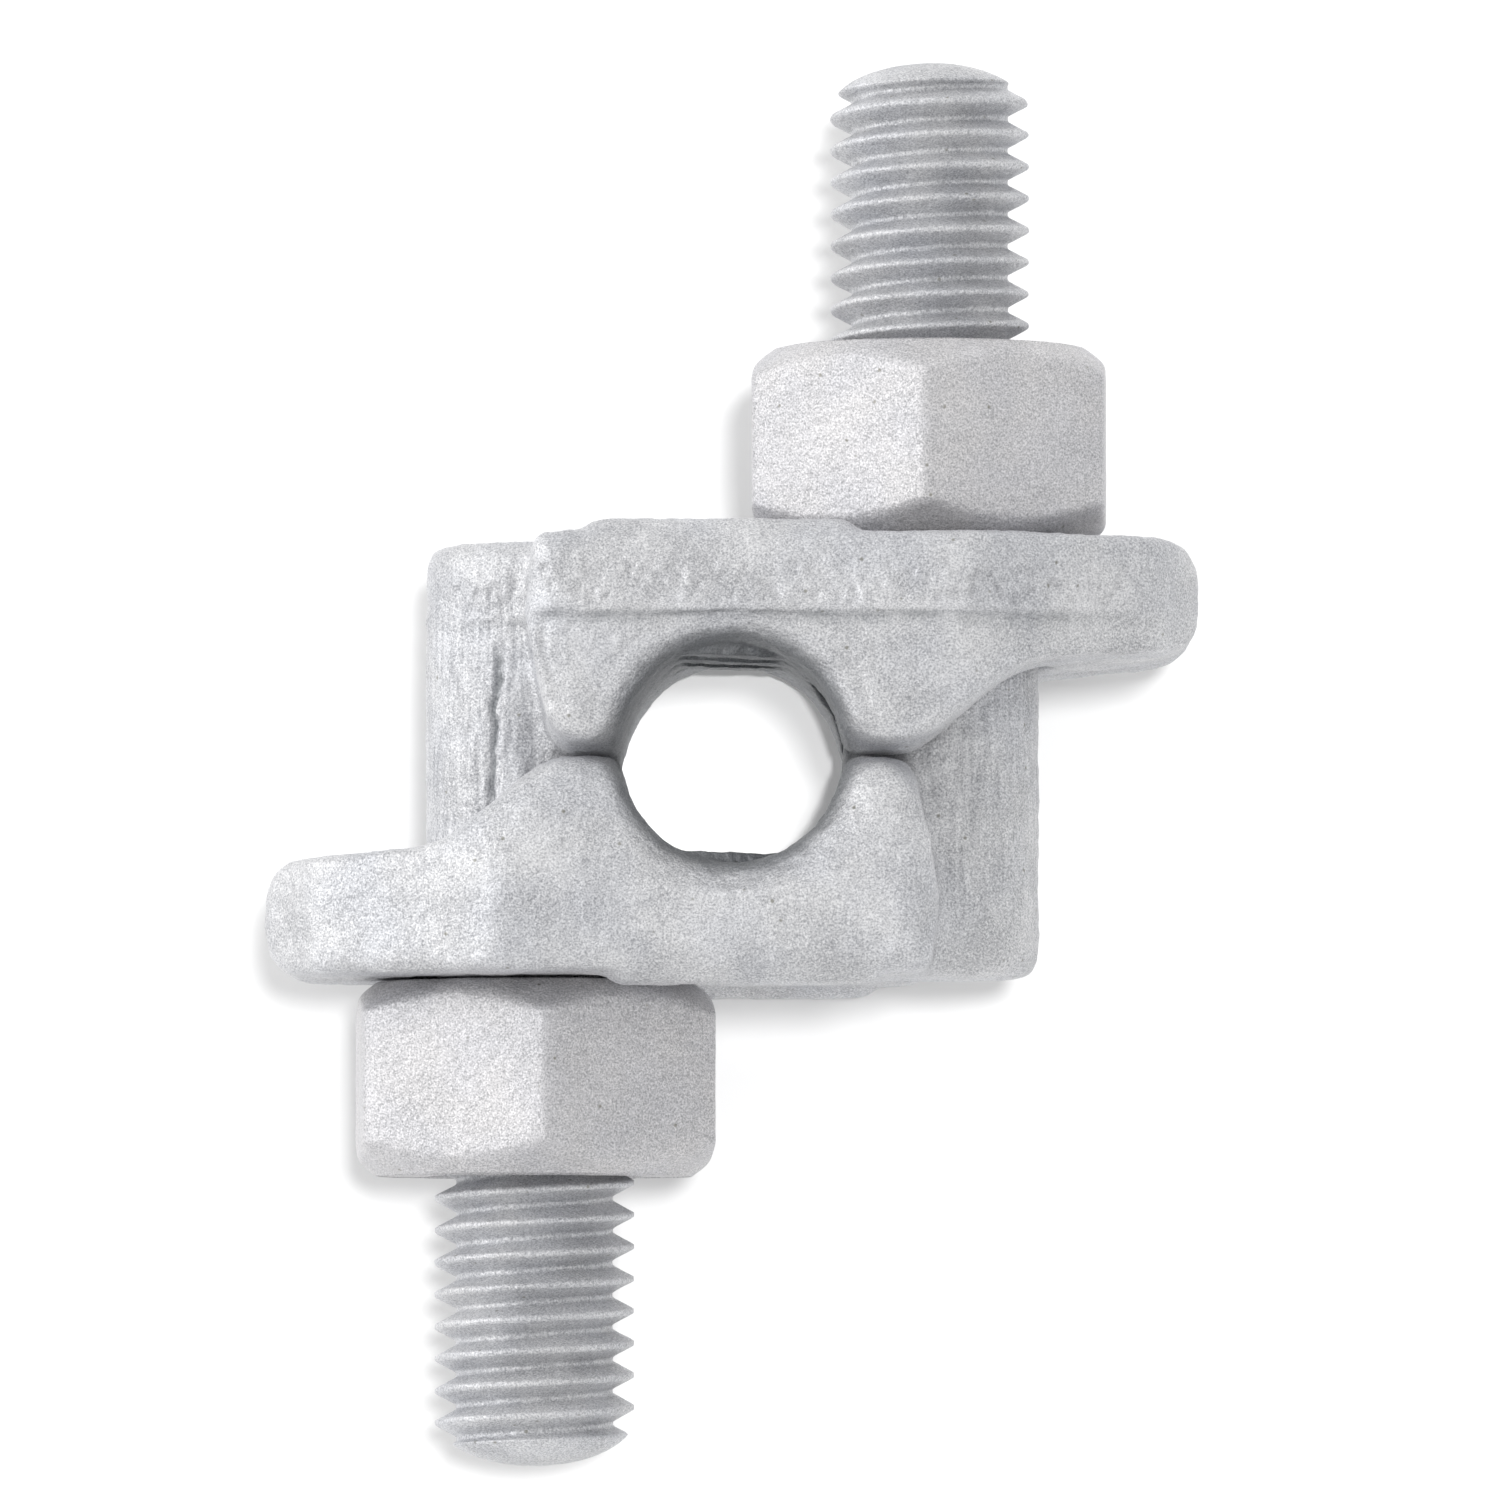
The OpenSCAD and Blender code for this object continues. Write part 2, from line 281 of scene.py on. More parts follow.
def thread_tree():
    """Cuts a right-hand V thread into a blank turned about the y axis. The blank's points carry
    their height along the thread and their turn, from 0 to 1, as attributes. Reach in is 0 for a
    thread cut from outside and 1 for one cut from within a bore."""
    tree = node_tree("cut_thread", ["Pitch", "Crest radius", "Root radius", "Start", "Reach in"])
    start = add(tree, "NodeGroupInput").outputs
    height = add(tree, "GeometryNodeInputNamedAttribute", {"Name": "height"}, data_type="FLOAT")
    turn = add(tree, "GeometryNodeInputNamedAttribute", {"Name": "turn"}, data_type="FLOAT")
    above = add(tree, "ShaderNodeMath", {0: height.outputs[0], 1: start["Start"]},
                operation="SUBTRACT")
    pitches = add(tree, "ShaderNodeMath", {0: above.outputs[0], 1: start["Pitch"]},
                  operation="DIVIDE")
    phase = add(tree, "ShaderNodeMath", {0: pitches.outputs[0], 1: turn.outputs[0]},
                operation="SUBTRACT")
    part = add(tree, "ShaderNodeMath", {0: phase.outputs[0]}, operation="FRACT")
    centred = add(tree, "ShaderNodeMath", {0: part.outputs[0], 1: 0.5}, operation="SUBTRACT")
    # Shares of a pitch away from the middle of a root: its flat ends at 0.08, the crest's
    # starts at 0.43, and the next crest's middle is at 0.5
    flank = add(tree, "ShaderNodeMath", {0: centred.outputs[0]}, operation="ABSOLUTE").outputs[0]
    cut_r = add(tree, "ShaderNodeMapRange", {
        "Value": flank, "From Min": 0.08, "From Max": 0.43,
        "To Min": start["Root radius"], "To Max": start["Crest radius"]})
    position, blank_r = place_and_radius(tree)
    outer = add(tree, "ShaderNodeMath", {0: blank_r, 1: cut_r.outputs[0]}, operation="MINIMUM")
    inner = add(tree, "ShaderNodeMath", {0: blank_r, 1: cut_r.outputs[0]}, operation="MAXIMUM")
    new_r = add(tree, "ShaderNodeMix", {
        "Factor": start["Reach in"], "A": outer.outputs[0], "B": inner.outputs[0]},
        data_type="FLOAT")
    # A nut's outside lies past 1.6 times the root's radius and is left alone
    limit = add(tree, "ShaderNodeMath", {0: start["Root radius"], 1: 1.6}, operation="MULTIPLY")
    in_reach = add(tree, "ShaderNodeMath", {0: blank_r, 1: limit.outputs[0]},
                   operation="LESS_THAN").outputs[0]
    shaped = moved_to_radius(tree, start["Geometry"], in_reach, position, blank_r,
                             new_r.outputs[0])
    # Painted shade: roots are drawn darker than crests, where shade falls between them
    painted_root_shade = ramps(tree, (flank, 0.26, 0.05), 0.09)
    root_shade_stored = add(tree, "GeometryNodeStoreNamedAttribute", {
        "Geometry": shaped.outputs[0], "Selection": in_reach, "Name": "painted_shade", "Value": painted_root_shade},
        data_type="FLOAT", domain="POINT")
    add(tree, "NodeGroupOutput", {"Geometry": root_shade_stored.outputs[0]})
    return tree


def hex_tree():
    """Forges six flats with soft corners on a round nut blank turned about the y axis."""
    tree = node_tree("forge_flats", ["Across flats", "Corner turn", "Corner softness"])
    start = add(tree, "NodeGroupInput").outputs
    turn = add(tree, "GeometryNodeInputNamedAttribute", {"Name": "turn"}, data_type="FLOAT")
    from_corner = add(tree, "ShaderNodeMath", {0: turn.outputs[0], 1: start["Corner turn"]},
                      operation="SUBTRACT")
    sides = add(tree, "ShaderNodeMath", {0: from_corner.outputs[0], 1: 6.0}, operation="MULTIPLY")
    side = add(tree, "ShaderNodeMath", {0: sides.outputs[0]}, operation="FRACT")
    angle = add(tree, "ShaderNodeMapRange", {
        "Value": side.outputs[0], "To Min": -math.pi / 6, "To Max": math.pi / 6})
    cosine = add(tree, "ShaderNodeMath", {0: angle.outputs[0]}, operation="COSINE")
    half = add(tree, "ShaderNodeMath", {0: start["Across flats"], 1: 0.5}, operation="MULTIPLY")
    flat_r = add(tree, "ShaderNodeMath", {0: half.outputs[0], 1: cosine.outputs[0]},
                 operation="DIVIDE")
    position, blank_r = place_and_radius(tree)
    new_r = add(tree, "ShaderNodeMath", {
        0: blank_r, 1: flat_r.outputs[0], 2: start["Corner softness"]}, operation="SMOOTH_MIN")
    # The bore, well within 0.36 times the width across flats, is left alone
    limit = add(tree, "ShaderNodeMath", {0: start["Across flats"], 1: 0.36}, operation="MULTIPLY")
    outside = add(tree, "ShaderNodeMath", {0: blank_r, 1: limit.outputs[0]},
                  operation="GREATER_THAN")
    shaped = moved_to_radius(tree, start["Geometry"], outside.outputs[0], position, blank_r,
                             new_r.outputs[0])
    add(tree, "NodeGroupOutput", {"Geometry": shaped.outputs[0]})
    return tree


def coat_tree(material):
    """Zinc coat: pushes the surface out and in along its normal by slow lumps and a fine grain,
    then sets the material."""
    tree = node_tree("zinc_coat_" + material.name, ["Lump size", "Lump height", "Grain size",
                                                    "Grain height"])
    start = add(tree, "NodeGroupInput").outputs
    position = add(tree, "GeometryNodeInputPosition").outputs[0]
    normal = add(tree, "GeometryNodeInputNormal").outputs[0]
    push = None
    for size, height in (("Lump size", "Lump height"), ("Grain size", "Grain height")):
        scale = add(tree, "ShaderNodeMath", {0: 1.0, 1: start[size]}, operation="DIVIDE")
        noise = add(tree, "ShaderNodeTexNoise", {
            "Vector": position, "Scale": scale.outputs[0], "Detail": 2.0, "Roughness": 0.5})
        centred = add(tree, "ShaderNodeMath", {0: noise.outputs["Fac"], 1: 0.5},
                      operation="SUBTRACT")
        rise = add(tree, "ShaderNodeMath", {0: centred.outputs[0], 1: start[height]},
                   operation="MULTIPLY")
        push = rise if push is None else add(
            tree, "ShaderNodeMath", {0: push.outputs[0], 1: rise.outputs[0]}, operation="ADD")
    offset = add(tree, "ShaderNodeVectorMath", {0: normal, "Scale": push.outputs[0]},
                 operation="SCALE")
    shaped = add(tree, "GeometryNodeSetPosition", {
        "Geometry": start["Geometry"], "Offset": offset.outputs[0]})
    whole = add(tree, "GeometryNodeRealizeInstances", {0: shaped.outputs[0]})
    smooth = add(tree, "GeometryNodeSetShadeSmooth", {"Geometry": whole.outputs[0]})
    dressed = add(tree, "GeometryNodeSetMaterial", {"Geometry": smooth.outputs[0],
                                                    "Material": material})
    add(tree, "NodeGroupOutput", {"Geometry": dressed.outputs[0]})
    return tree


def marks_tree():
    """Marks of forging and trimming on a saddle: a ragged flash line along the parting line, end
    faces that stand back below it, scale pits above it, and scrape marks and a seam down the
    stud's root. Side is 1 for the upper half and -1 for the lower one. Places are in millimetres,
    as on the upper half, and each ramp goes from where a mark is gone to where it is full."""
    tree = node_tree("forging_marks", ["Side", "Parting height", "Flash", "Step back", "Scrapes",
                                       "Seam"])
    start = add(tree, "NodeGroupInput").outputs
    position = add(tree, "GeometryNodeInputPosition").outputs[0]
    normal = add(tree, "GeometryNodeInputNormal").outputs[0]
    turned = add(tree, "ShaderNodeVectorMath", {0: position, "Scale": start["Side"]},
                 operation="SCALE")
    x, height, _ = add(tree, "ShaderNodeSeparateXYZ", {0: turned.outputs[0]}).outputs
    facing = add(tree, "ShaderNodeVectorMath", {0: normal}, operation="ABSOLUTE")
    _, face_y, face_z = add(tree, "ShaderNodeSeparateXYZ", {0: facing.outputs[0]}).outputs
    across = add(tree, "ShaderNodeCombineXYZ", {0: x, 1: height})
    from_rope = add(tree, "ShaderNodeVectorMath", {0: across.outputs[0]},
                    operation="LENGTH").outputs["Value"]
    above = add(tree, "ShaderNodeMath", {0: height, 1: start["Parting height"]},
                operation="SUBTRACT").outputs[0]
    away = add(tree, "ShaderNodeMath", {0: above}, operation="ABSOLUTE").outputs[0]
    wander = add(tree, "ShaderNodeTexNoise", {
        "Vector": position, "Scale": 0.6, "Detail": 3.0}).outputs["Fac"]

    # Marks stop at the rope channel, weaken on the stud's root and fade out towards the nose
    off_root = add(tree, "ShaderNodeMapRange", {
        "Value": x, "From Min": -10.6, "From Max": -9.8, "To Min": 0.3, "To Max": 1.0})
    off_channel = ramps(tree, (from_rope, 6.3, 7.0), off_root.outputs[0])
    to_nose = ramps(tree, (x, 20.5, 14.0))
    on_root = ramps(tree, (x, -10.0, -10.8))

    # Flash: a narrow ridge in broken stretches, not on faces that look along the studs
    ridge = ramps(tree, (away, 0.36, 0.0), (face_y, 0.7, 0.4), (wander, 0.3, 0.6), off_channel,
                  to_nose, start["Flash"])
    # The legs' end faces stand back below the parting line, and painted shade is drawn under its
    # step
    back = ramps(tree, (above, -0.05, -0.42), (face_z, 0.55, 0.85), off_channel,
                 start["Step back"])
    shade_under_step = ramps(tree, (above, -0.02, -0.22), (above, -0.95, -0.4), (face_z, 0.5, 0.8),
                 off_channel, to_nose, (wander, 0.38, 0.62))
    # Scale pits in the trimmed band over the parting line
    scale = add(tree, "ShaderNodeTexNoise", {
        "Vector": position, "Scale": 1.9, "Detail": 2.0}).outputs["Fac"]
    pits = ramps(tree, (scale, 0.5, 0.34), (above, 0.1, 0.5), (above, 2.5, 1.9),
                 (face_z, 0.6, 0.85), start["Step back"], 0.7)
    # Scrape marks from trimming, about 0.5 mm apart and long in the stud's direction
    stretched = add(tree, "ShaderNodeVectorMath", {0: position, 1: (2.2, 0.14, 2.2)},
                    operation="MULTIPLY")
    lines = add(tree, "ShaderNodeTexNoise", {
        "Vector": stretched.outputs[0], "Scale": 1.0, "Detail": 3.0,
        "Roughness": 0.65}).outputs["Fac"]
    scrape = ramps(tree, (lines, 0.5, 0.36), on_root, (x, -14.8, -13.4), (height, -5.0, -2.5),
                   (height, 8.6, 6.5), start["Scrapes"])
    # One deeper seam where the trimming tool stopped, which wavers and leans a little
    lean = add(tree, "ShaderNodeMath", {0: height, 1: -0.06}, operation="MULTIPLY")
    leant_x = add(tree, "ShaderNodeMath", {0: x, 1: lean.outputs[0]}, operation="ADD")
    line_x = add(tree, "ShaderNodeMapRange", {
        "Value": wander, "To Min": -12.55, "To Max": -11.15})
    off_seam = add(tree, "ShaderNodeMath", {0: leant_x.outputs[0], 1: line_x.outputs[0]},
                   operation="SUBTRACT")
    seam_away = add(tree, "ShaderNodeMath", {0: off_seam.outputs[0]}, operation="ABSOLUTE")
    seam = ramps(tree, (seam_away.outputs[0], 0.24, 0.04), (height, 5.8, 4.6),
                 (height, -3.5, -1.5), start["Seam"])

    # The seam is 0.3 mm deep; all that is cut goes in along the normal, and the flash goes out
    inward = add(tree, "ShaderNodeMath", {0: back, 1: scrape}, operation="ADD")
    for depth in (ramps(tree, seam, 0.3), pits):
        inward = add(tree, "ShaderNodeMath", {0: inward.outputs[0], 1: depth}, operation="ADD")
    push = add(tree, "ShaderNodeMath", {0: ridge, 1: inward.outputs[0]}, operation="SUBTRACT")
    offset = add(tree, "ShaderNodeVectorMath", {0: normal, "Scale": push.outputs[0]},
                 operation="SCALE")
    # Painted shade: the surface is drawn darker under the step, in scrapes, in the seam and in the
    # channel, where shade falls
    deep = add(tree, "ShaderNodeMath", {0: shade_under_step, 1: scrape}, operation="MAXIMUM").outputs[0]
    dull = ramps(tree, deep, start["Step back"], 1.3)
    for share in (ramps(tree, seam, 0.7), ramps(tree, (from_rope, 6.1, 5.5), 0.5)):
        dull = add(tree, "ShaderNodeMath", {0: dull, 1: share}, operation="MAXIMUM").outputs[0]
    marked = start["Geometry"]
    for label, value in (("painted_shade", dull), ("streaked", ramps(tree, on_root, (height, 9.0, 7.5)))):
        marked = add(tree, "GeometryNodeStoreNamedAttribute", {
            "Geometry": marked, "Name": label, "Value": value},
            data_type="FLOAT", domain="POINT").outputs[0]
    shaped = add(tree, "GeometryNodeSetPosition", {
        "Geometry": marked, "Offset": offset.outputs[0]})
    add(tree, "NodeGroupOutput", {"Geometry": shaped.outputs[0]})
    return tree


def ridge_tree():
    """Adds three ribs to a saddle's seat, which bed between the rope's strands: flat-topped,
    leaning along the rope, one for each strand pitch. Top is their height in the seat."""
    tree = node_tree("lay_ridges", ["Side", "First", "Pitch", "Lean", "Top", "Width"])
    start = add(tree, "NodeGroupInput").outputs
    long_way = add(tree, "ShaderNodeCombineXYZ", {2: start["First"]})
    stride = add(tree, "ShaderNodeCombineXYZ", {2: start["Pitch"]})
    row = add(tree, "GeometryNodeMeshLine", {
        "Count": 3, "Start Location": long_way.outputs[0], "Offset": stride.outputs[0]})
    depth = 1.6
    length = 7.0
    rib_size = add(tree, "ShaderNodeCombineXYZ", {0: length, 1: depth, 2: start["Width"]})
    rib = add(tree, "GeometryNodeMeshCube", {"Size": rib_size.outputs[0]})
    middle = add(tree, "ShaderNodeMath", {0: start["Top"], 1: depth / 2}, operation="ADD")
    rise = add(tree, "ShaderNodeMath", {0: middle.outputs[0], 1: start["Side"]},
               operation="MULTIPLY")
    lift = add(tree, "ShaderNodeCombineXYZ", {1: rise.outputs[0]})
    lean = add(tree, "ShaderNodeCombineXYZ", {1: start["Lean"]})
    leant = add(tree, "GeometryNodeTransform", {
        "Geometry": rib.outputs[0], "Translation": lift.outputs[0], "Rotation": lean.outputs[0]})
    ribs = add(tree, "GeometryNodeInstanceOnPoints", {
        "Points": row.outputs[0], "Instance": leant.outputs[0]})
    whole = add(tree, "GeometryNodeRealizeInstances", {0: ribs.outputs[0]})
    joined = add(tree, "GeometryNodeJoinGeometry")
    tree.links.new(whole.outputs[0], joined.inputs[0])
    tree.links.new(start["Geometry"], joined.inputs[0])
    add(tree, "NodeGroupOutput", {"Geometry": joined.outputs[0]})
    return tree


THREAD = thread_tree()
FLATS = hex_tree()
MARKS = marks_tree()
RIDGES = ridge_tree()
COAT = {"forging": coat_tree(FORGED_ZINC), "nut": coat_tree(NUT_ZINC)}


def coated(thing, kind, lump_size, lump_height, grain_size, grain_height):
    """Gives a finished shape its zinc coat; sizes in millimetres. Its mesh ends in metres."""
    run_tree(thing, COAT[kind], {
        "Lump size": lump_size, "Lump height": lump_height,
        "Grain size": grain_size, "Grain height": grain_height})
    # No coat stands outside the clip's box.
    reach = np.array(cad_box) / MM
    points = np.empty(len(thing.data.vertices) * 3)
    thing.data.vertices.foreach_get("co", points)
    points = np.clip(points.reshape(-1, 3), reach[0], reach[1])
    thing.data.vertices.foreach_set("co", points.ravel())
    thing.data.transform(Matrix.Scale(MM, 4))
    return thing


# ---------------------------------------------------------------- turned blanks

def lathe(name, radius, height, turn, closed):
    """Mesh through rows of points turned about the y axis. radius, height and turn are arrays of
    rows by columns; a closed outline joins its last row to its first."""
    rows, columns = radius.shape
    angle = turn * 2 * math.pi
    # A positive turn about +y goes from +x towards -z.
    points = np.stack([radius * np.cos(angle), height, -radius * np.sin(angle)], axis=-1)
    faces = []
    for row in range(rows if closed else rows - 1):
        after = (row + 1) % rows
        for column in range(columns - 1):
            faces.append((row * columns + column, row * columns + column + 1,
                          after * columns + column + 1, after * columns + column))
    mesh = bpy.data.meshes.new(name)
    mesh.from_pydata(points.reshape(-1, 3).tolist(), [], faces)
    for label, values in (("height", height), ("turn", turn)):
        layer = mesh.attributes.new(label, "FLOAT", "POINT")
        layer.data.foreach_set("value", np.ascontiguousarray(values, dtype=np.float32).ravel())
    return new_object(name, mesh)


def first_crest(side, crest_height):
    """Where a thread's first crest comes, measured away from the clip's middle along its stud.
    The lower stud is turned over, so the side of it that faces +X is half a turn on."""
    return (crest_height if side > 0 else -crest_height + PITCH / 2) % PITCH


def on_its_axis(thing, side):
    """Closes a turned shape and sets it on its stud's axis; the lower ones are turned over."""
    facing_out(thing.data)
    if side < 0:
        thing.data.transform(Matrix.Rotation(math.pi, 4, "Z"))
    thing.data.transform(Matrix.Translation((side * STUD_X, 0, 0)))


def threaded_stud(name, body, node, side, crest_height):
    """A stud's threaded length and domed tip. side is 1 for the stud that points up."""
    columns = 129
    rows_per_pitch = 16
    step = PITCH / rows_per_pitch
    dome_start = STUD_REACH - TIP_RISE
    rows = int((dome_start + TIP_RISE * math.pi / 2 - THREAD_START + 2 * PITCH) / step)
    turn = np.tile(np.linspace(0, 1, columns), (rows, 1))
    # The blank is a cylinder just larger than the crests, with a quarter-round dome for its tip.
    # Rows climb with the thread, so that crests and roots run along the mesh's edges.
    along = THREAD_START - PITCH + step * np.arange(rows)[:, None] + PITCH * turn
    dome = np.clip((along - dome_start) / TIP_RISE, 0, math.pi / 2)
    height = np.minimum(along, dome_start) + TIP_RISE * np.sin(dome)
    radius = (CREST_R + 0.02) * np.cos(dome)
    ended = (along <= THREAD_START) | (dome >= math.pi / 2)
    radius[ended] = 0
    height = np.maximum(height, THREAD_START)
    stud = lathe(name, radius, height, turn, closed=False)
    run_tree(stud, THREAD, {
        "Pitch": PITCH, "Crest radius": CREST_R, "Root radius": ROOT_R,
        "Start": first_crest(side, crest_height), "Reach in": 0.0})
    on_its_axis(stud, side)
    coated(stud, "forging", lump_size=2.2, lump_height=0.10, grain_size=0.45, grain_height=0.05)
    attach(stud, body)
    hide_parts(node)


def hex_nut(name, body, node, side, corner_turn, crest_height):
    """A heavy hex nut, chamfered on both faces and threaded, in its place on its ear."""
    columns = 257
    corner_r = NUT_FLATS / 2 / math.cos(math.pi / 6)
    face_r = 7.85
    bore_r = ROOT_R + 0.12
    lead_in_r = CREST_R + 0.35
    step = 0.1
    # One closed outline: chamfered outside, upper face, bore with its lead-ins, lower face
    wall = np.arange(0, NUT_H + step / 2, step)
    from_face = np.minimum(wall, NUT_H - wall)
    outside = np.minimum(corner_r - 0.02, face_r + from_face / math.tan(NUT_CHAMFER))
    inside = np.maximum(bore_r, lead_in_r - from_face)
    across = np.arange(face_r - step, lead_in_r, -1.6 * step)
    outline_r = np.concatenate([outside, across, inside[::-1], across[::-1]])
    outline_y = np.concatenate([wall, np.full(len(across), NUT_H), wall[::-1],
                                np.zeros(len(across))])
    turn = np.tile(np.linspace(0, 1, columns), (len(outline_r), 1))
    radius = np.tile(outline_r[:, None], (1, columns))
    height = np.tile(outline_y[:, None], (1, columns)) + FACE_H + NUT_GAP
    nut = lathe(name, radius, height, turn, closed=True)
    run_tree(nut, THREAD, {
        "Pitch": PITCH, "Crest radius": CREST_R + 0.06, "Root radius": bore_r,
        "Start": first_crest(side, crest_height), "Reach in": 1.0})
    # Turns run towards -z, and the lower nut is turned over, so its corner turns the other way.
    corner = -corner_turn if side > 0 else -(180 - corner_turn)
    run_tree(nut, FLATS, {
        "Across flats": NUT_FLATS, "Corner turn": corner / 360, "Corner softness": 0.8})
    on_its_axis(nut, side)
    coated(nut, "nut", lump_size=3.0, lump_height=0.07, grain_size=0.5, grain_height=0.03)
    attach(nut, body)
    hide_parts(node)


# ---------------------------------------------------------------- forged saddles

def even_skin(thing, size, rounds):
    """One closed skin of even faces, smoothed until its edges are as soft as a forging's."""
    remesh = thing.modifiers.new("even_skin", "REMESH")
    remesh.mode = "VOXEL"
    remesh.voxel_size = size
    soften = thing.modifiers.new("soft_edges", "SMOOTH")
    soften.factor = 0.5
    soften.iterations = rounds
    settled(thing)


def round_legs(thing, side, rounds):
    """Rounds the ends of the legs below the parting line, which the dies leave full and soft."""
    points = np.empty(len(thing.data.vertices) * 3)
    thing.data.vertices.foreach_get("co", points)
    points = points.reshape(-1, 3) * (side, side, 1)
    # The last millimetres towards both ends of the saddle, clear of the stud's root and the ear
    near_end = np.clip((np.abs(points[:, 2]) - 8.5) / 2.5, 0, 1)
    below = np.clip((PARTING_H - 0.5 - points[:, 1]) / 1.5, 0, 1)
    off_root = np.clip((points[:, 0] + 9.6) / 0.8, 0, 1) * np.clip((14 - points[:, 0]) / 3, 0, 1)
    group = thing.vertex_groups.new(name="legs")
    for index, weight in enumerate(near_end * below * off_root):
        if weight > 0:
            group.add([index], float(weight), "REPLACE")
    soften = thing.modifiers.new("full_legs", "SMOOTH")
    soften.factor = 0.5
    soften.iterations = rounds
    soften.vertex_group = group.name
    settled(thing)
    thing.vertex_groups.clear()


def forged_saddle(name, body, node, side, trimmed):
    """A forged half without its thread: the CAD form with the soft edges that forging dies and
    the zinc bath leave. trimmed says how strongly the marks of its trimming show, from 0 to 1."""
    # The CAD form, up to where its stud's thread starts
    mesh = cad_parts[node].data.copy()
    mesh.transform(Matrix.Scale(1 / MM, 4))
    shell = bmesh.new()
    shell.from_mesh(mesh)
    bmesh.ops.remove_doubles(shell, verts=shell.verts, dist=1e-4)
    everything = shell.verts[:] + shell.edges[:] + shell.faces[:]
    cut = bmesh.ops.bisect_plane(shell, geom=everything, plane_co=(0, -side * ROOT_END, 0),
                                 plane_no=(0, -side, 0), clear_outer=True)
    rim = [e for e in cut["geom_cut"] if isinstance(e, bmesh.types.BMEdge)]
    bmesh.ops.edgeloop_fill(shell, edges=rim)
    shell.to_mesh(mesh)
    shell.free()
    saddle = new_object(name, mesh)
    # Edges are softened first, and the ridges are laid in afterwards, so that they stay crisper
    even_skin(saddle, size=0.3, rounds=14)
    round_legs(saddle, side, rounds=150)
    run_tree(saddle, RIDGES, {
        "Side": side, "First": -2.6, "Pitch": 5.2, "Lean": math.radians(40),
        "Top": SEAT_R - 0.65, "Width": 1.9})
    even_skin(saddle, size=0.2, rounds=6)
    run_tree(saddle, MARKS, {
        "Side": side, "Parting height": PARTING_H, "Flash": 0.24 * trimmed,
        "Step back": 0.32 * trimmed, "Scrapes": 0.10, "Seam": trimmed})
    coated(saddle, "forging", lump_size=2.4, lump_height=0.22, grain_size=0.75,
           grain_height=0.20)
    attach(saddle, body)
    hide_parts(node)


# The photograph shows the trimming marks on the upper half and hardly any on the lower one
forged_saddle("upper_forging", "upper_half", "upper_saddle", 1, trimmed=1.0)
forged_saddle("lower_forging", "lower_half", "lower_saddle", -1, trimmed=0.12)
threaded_stud("upper_stud_thread", "lower_half", "lower_saddle", 1, UPPER_CREST_H)
threaded_stud("lower_stud_thread", "upper_half", "upper_saddle", -1, LOWER_CREST_H)
hex_nut("upper_hex_nut", "upper_nut", "upper_nut", 1, UPPER_NUT_TURN, UPPER_CREST_H)
hex_nut("lower_hex_nut", "lower_nut", "lower_nut", -1, LOWER_NUT_TURN, LOWER_CREST_H)


# ---------------------------------------------------------------- floor, light and camera

def pale_floor():
    """White paper: to the camera and in reflections a little of its white is its own, so that
    the clip's shadow stays pale; it throws back less light on the clip than paper would."""
    mesh = bpy.data.meshes.new("floor")
    reach = 1.5
    level = cad_box[0][2] - 0.2 * MM
    mesh.from_pydata([(-reach, -reach, level), (reach, -reach, level),
                      (reach, reach, level), (-reach, reach, level)], [], [(0, 1, 2, 3)])
    floor = new_object("floor", mesh)
    material = bpy.data.materials.new("white_paper")
    material.use_nodes = True
    tree = material.node_tree
    tree.nodes.clear()
    path = add(tree, "ShaderNodeLightPath").outputs
    seen = add(tree, "ShaderNodeMath", {0: path["Is Camera Ray"], 1: path["Is Glossy Ray"]},
               operation="MAXIMUM")
    paper = add(tree, "ShaderNodeBsdfDiffuse", {"Color": linear("#f2f2f2")})
    glow = add(tree, "ShaderNodeEmission", {"Color": linear("#ffffff"), "Strength": 1.0})
    white = add(tree, "ShaderNodeMixShader", {0: 0.2, 1: paper.outputs[0], 2: glow.outputs[0]})
    dull = add(tree, "ShaderNodeBsdfDiffuse", {"Color": linear("#9c9c9c")})
    surface = add(tree, "ShaderNodeMixShader", {0: seen.outputs[0], 1: dull.outputs[0],
                                                2: white.outputs[0]})
    add(tree, "ShaderNodeOutputMaterial", {"Surface": surface.outputs[0]})
    mesh.materials.append(material)
    return floor


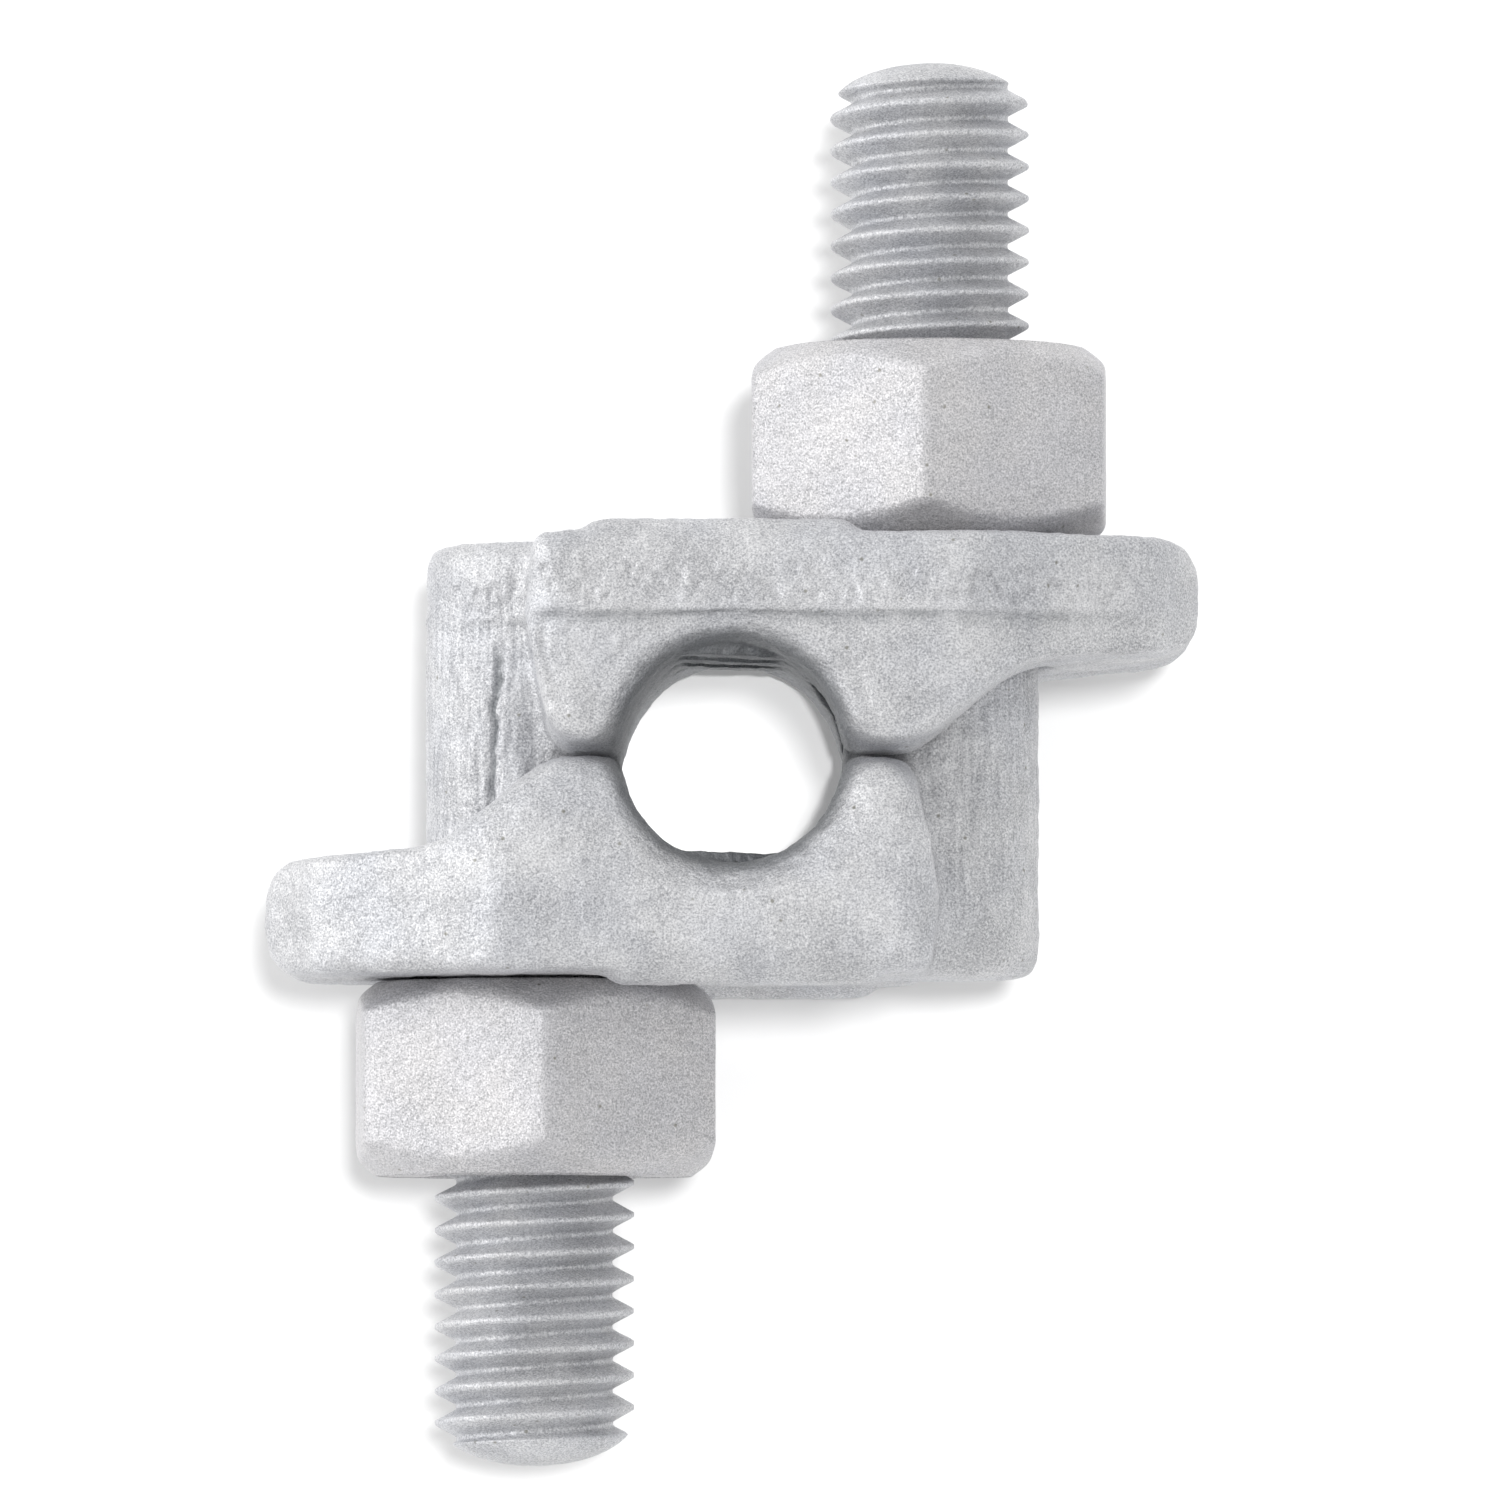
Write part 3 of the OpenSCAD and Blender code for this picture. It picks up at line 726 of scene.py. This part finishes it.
def studio_world():
    """Pale surroundings, a little brighter above and on the left. The camera, reflections and
    glass see plain white."""
    world = bpy.data.worlds.new("studio")
    bpy.context.scene.world = world
    world.use_nodes = True
    tree = world.node_tree
    tree.nodes.clear()
    path = add(tree, "ShaderNodeLightPath").outputs
    direct = add(tree, "ShaderNodeMath", {0: path["Is Camera Ray"], 1: path["Is Glossy Ray"]},
                 operation="MAXIMUM")
    seen = add(tree, "ShaderNodeMath", {0: direct.outputs[0], 1: path["Is Transmission Ray"]},
               operation="MAXIMUM")
    towards = add(tree, "ShaderNodeTexCoord").outputs["Generated"]
    side = add(tree, "ShaderNodeVectorMath", {0: towards, 1: (-0.72, 0.69, 0)},
               operation="DOT_PRODUCT")
    level = add(tree, "ShaderNodeMapRange", {
        "Value": side.outputs["Value"], "From Min": -1.0, "From Max": 1.0,
        "To Min": 0.42, "To Max": 1.22})
    soft = add(tree, "ShaderNodeBackground", {
        "Color": linear("#ffffff"), "Strength": level.outputs[0]})
    white = add(tree, "ShaderNodeBackground", {"Color": linear("#ffffff"), "Strength": 1.0})
    mixed = add(tree, "ShaderNodeMixShader", {0: seen.outputs[0], 1: soft.outputs[0],
                                              2: white.outputs[0]})
    add(tree, "ShaderNodeOutputWorld", {"Surface": mixed.outputs[0]})


def lamp(name, kind, place, aim, lit, **settings):
    """A lamp that looks from its place to its aim and lights only the given objects."""
    data = bpy.data.lights.new(name, kind)
    for setting, value in settings.items():
        setattr(data, setting, value)
    shining = bpy.data.objects.new(name, data)
    shining.location = place
    shining.rotation_euler = (Vector(aim) - Vector(place)).to_track_quat("-Z", "Y").to_euler()
    bpy.context.scene.collection.objects.link(shining)
    receivers = bpy.data.collections.new("lit_by_" + name)
    for thing in lit:
        receivers.objects.link(thing)
    shining.light_linking.receiver_collection = receivers


def photo_camera():
    """Over the clip and a little below its middle, as the photograph was taken."""
    frame_width = 74.4 * MM
    distance = 600 * MM
    below = 31 * MM
    aim = Vector((0.87 * MM, 0.65 * MM, 0))
    data = bpy.data.cameras.new("camera")
    data.sensor_width = 36
    data.sensor_fit = "HORIZONTAL"
    camera = bpy.data.objects.new("camera", data)
    camera.location = aim + Vector((0, -below, distance))
    way = aim - camera.location
    data.lens = data.sensor_width * way.length / frame_width
    data.clip_start = 0.01
    camera.rotation_euler = way.to_track_quat("-Z", "Y").to_euler()
    bpy.context.scene.collection.objects.link(camera)
    bpy.context.scene.camera = camera


floor = pale_floor()
studio_world()
pieces = [thing for thing in bpy.context.scene.objects
          if thing.type == "MESH" and thing != floor]
lamp("key_left", "AREA", (-0.57, 0.14, 0.27), (0, 0, 0), pieces,
     shape="SQUARE", size=0.35, energy=1.4)
# Nearly overhead, so that the clip's shadow is a narrow soft edge on the paper
lamp("floor_sun", "SUN", (0.039, 0.0225, 0.5), (0, 0, 0), [floor],
     energy=2.1, angle=math.radians(5))
# A narrow beam down the rope channel, so that the paper behind it shows white
lamp("channel_spot", "SPOT", (0.022, -0.014, 0.6), (0, 0, -0.0135), [floor],
     energy=9.0, spot_size=math.radians(1.9), spot_blend=0.2, shadow_soft_size=0.006)
photo_camera()
bpy.context.scene.view_settings.view_transform = "Standard"
